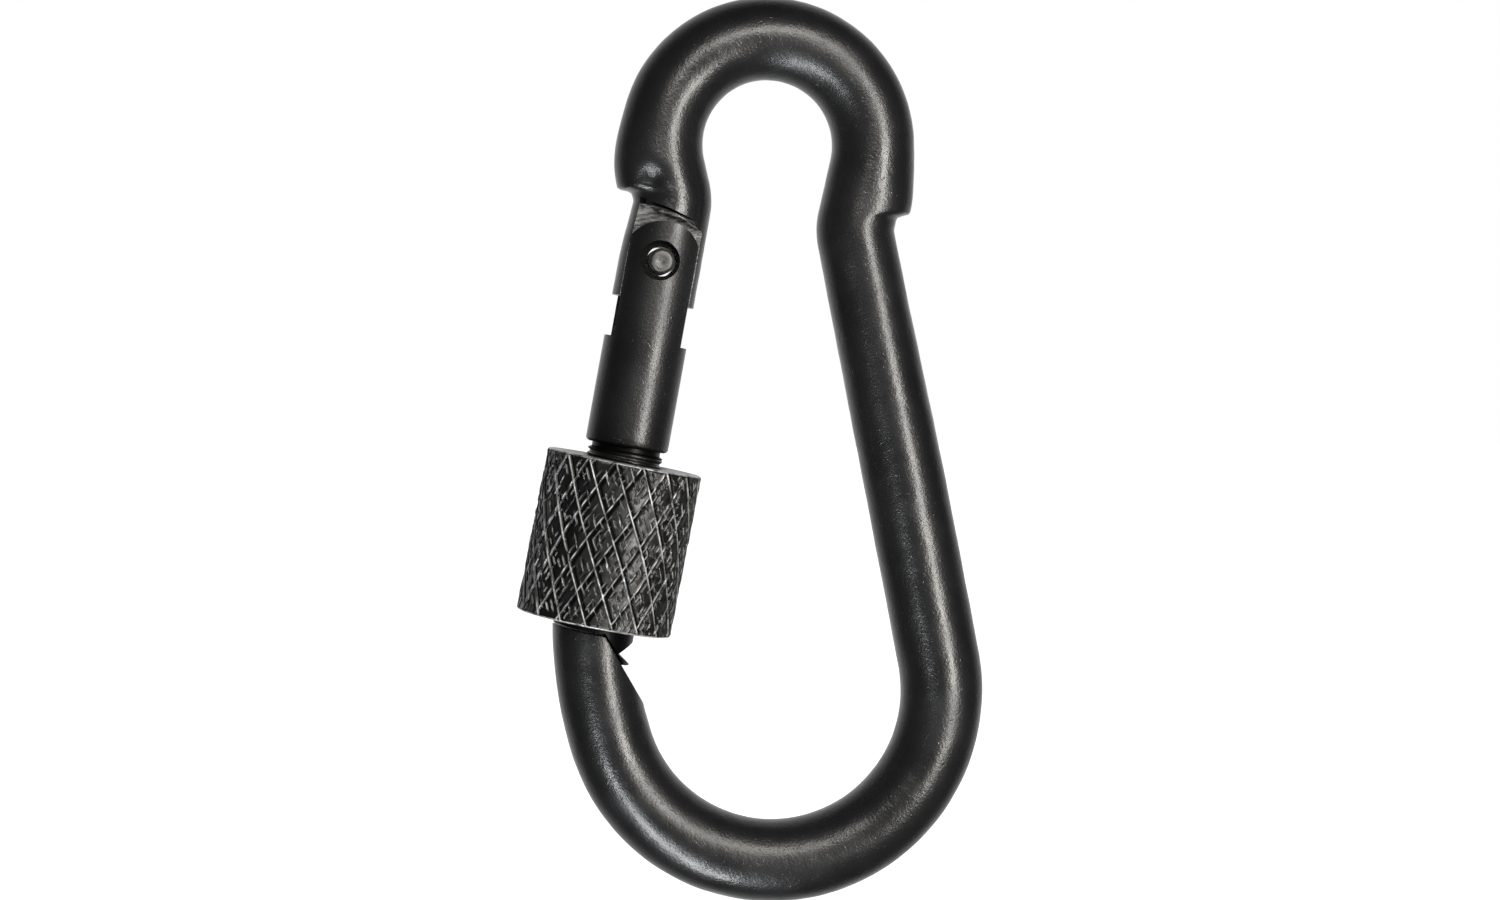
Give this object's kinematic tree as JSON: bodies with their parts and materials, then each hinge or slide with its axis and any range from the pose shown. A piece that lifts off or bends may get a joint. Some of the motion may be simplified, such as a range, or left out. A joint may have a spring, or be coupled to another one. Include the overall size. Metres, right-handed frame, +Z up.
{
  "type": "locking carabiner",
  "caption": "Pear-shaped spring hook of bent round steel with a hinged gate and a knurled screw sleeve, in satin black.",
  "frame": {"origin": "inner top of the small loop, where the hook hangs, in the middle plane of the wire", "axes": "+Z up along the hook towards the small loop, +X from the gate to the spine, +Y away from the viewer"},
  "size_m": [0.0621, 0.0212, 0.1198],
  "materials": {
    "hook_black": "satin black coating on steel",
    "gate_black": "satin black coating on steel",
    "rivet_steel": "worn bright steel",
    "sleeve_black": "black coating on knurled steel",
    "plunger_steel": "ground",
    "spring_steel": "drawn wire",
    "ring_steel": "spring steel"
  },
  "bodies": {
    "hook": {"hook_body": "hook_black"},
    "gate": {"gate_bar": "gate_black", "hinge_rivet": "rivet_steel", "gate_spring": "spring_steel"},
    "plunger": {"plunger": "plunger_steel"},
    "sleeve_ring": {"sleeve_retaining_ring": "ring_steel"},
    "sleeve": {"lock_sleeve": "sleeve_black"}
  },
  "joints": [
    {"name": "gate_swing", "type": "hinge", "parent": "hook", "child": "gate", "pos_m": [-0.01425, 0, -0.024], "axis": [0, -1, 0], "range_deg": [0, 30], "stiffness_Nm_per_rad": 0.3, "springref_deg": -20.05},
    {"name": "plunger_slide", "type": "slide", "parent": "gate", "child": "plunger", "axis": [-0.1788, 0, -0.9839], "range_m": [0, 0.00116], "deforming": ["gate_spring"]},
    {"name": "sleeve_travel", "type": "slide", "parent": "gate", "child": "sleeve_ring", "axis": [-0.1788, 0, -0.9839], "range_m": [-0.0016, 0.004]},
    {"name": "sleeve_spin", "type": "hinge", "parent": "sleeve_ring", "child": "sleeve", "pos_m": [-0.02097, 0, -0.06099], "axis": [-0.1788, 0, -0.9839], "range_deg": [-577, 1441]}
  ],
  "couplings": [
    {"joint": "plunger_slide", "follows": "gate_swing", "m_per_rad": 0.0022},
    {"joint": "sleeve_spin", "follows": "sleeve_travel", "rad_per_m": 6283.2}
  ]
}
